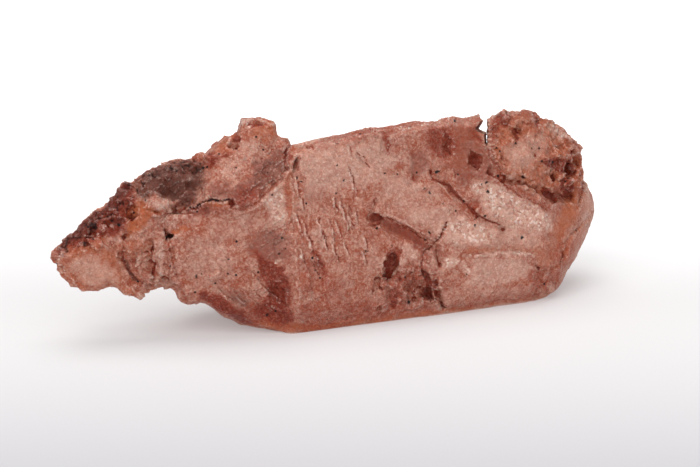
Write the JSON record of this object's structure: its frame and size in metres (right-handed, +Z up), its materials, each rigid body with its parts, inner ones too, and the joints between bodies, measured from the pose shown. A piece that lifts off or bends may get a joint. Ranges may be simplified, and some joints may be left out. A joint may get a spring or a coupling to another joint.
{
  "type": "quartz crystal",
  "caption": "Squat quartz crystal lying on a flat prism face, with an etched, pitted skin, a ragged pointed termination at one end and a rounded knob parted by a slot at the other.",
  "frame": {"origin": "middle of the crystal's length and width, at the height of the face it lies on", "axes": "+X along the crystal's c axis from the ragged tip to the rounded knob end, -Y out of the broad front prism face, +Z up"},
  "size_m": [0.0784, 0.0224, 0.0276],
  "materials": {
    "quartz": "dusty red-pink translucent quartz, frosted and etched, rust stained in the pits and paler on the smooth faces"
  },
  "bodies": {
    "root": {"quartz_crystal": "quartz"}
  },
  "joints": []
}
